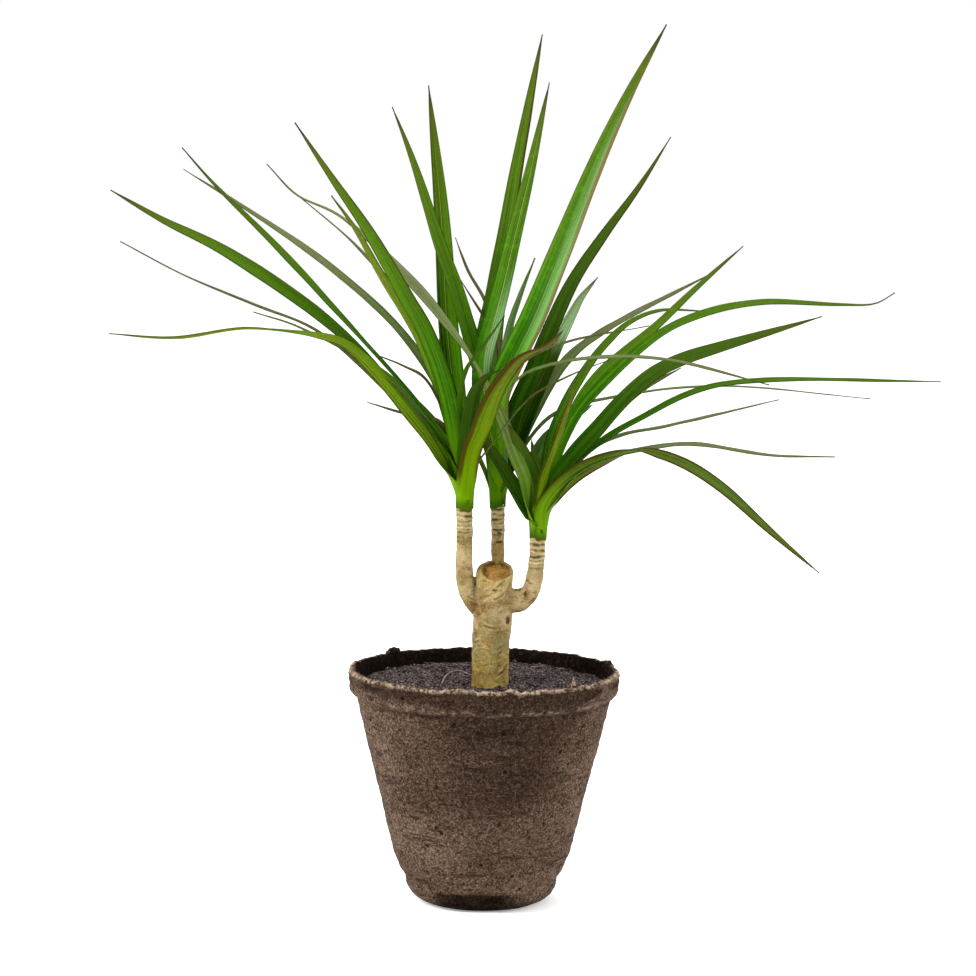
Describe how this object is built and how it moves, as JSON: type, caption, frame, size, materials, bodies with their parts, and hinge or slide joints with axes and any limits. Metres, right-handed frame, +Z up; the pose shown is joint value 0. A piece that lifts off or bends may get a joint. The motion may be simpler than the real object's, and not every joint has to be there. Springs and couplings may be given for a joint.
{
  "type": "potted dracaena",
  "caption": "House plant: a bare cane with a callused cut top and slim leafy shoots whose long narrow leaves arch outwards, in soil in a tapered moulded-fibre pot.",
  "frame": {"origin": "middle of the pot's flat underside, on the surface that the pot stands on", "axes": "+Z up along the pot's axis, +X to the plant's right as the picture shows it, -Y to the front"},
  "size_m": [0.3853, 0.3303, 0.4163],
  "materials": {
    "pot_fibre": "matte",
    "potting_soil": "matte",
    "bark": "matte",
    "leaf": "satin"
  },
  "bodies": {
    "root": {"pot": "pot_fibre", "soil": "potting_soil", "cane": "bark", "leaves_left": "leaf", "leaves_centre": "leaf", "leaves_right": "leaf"}
  },
  "joints": []
}
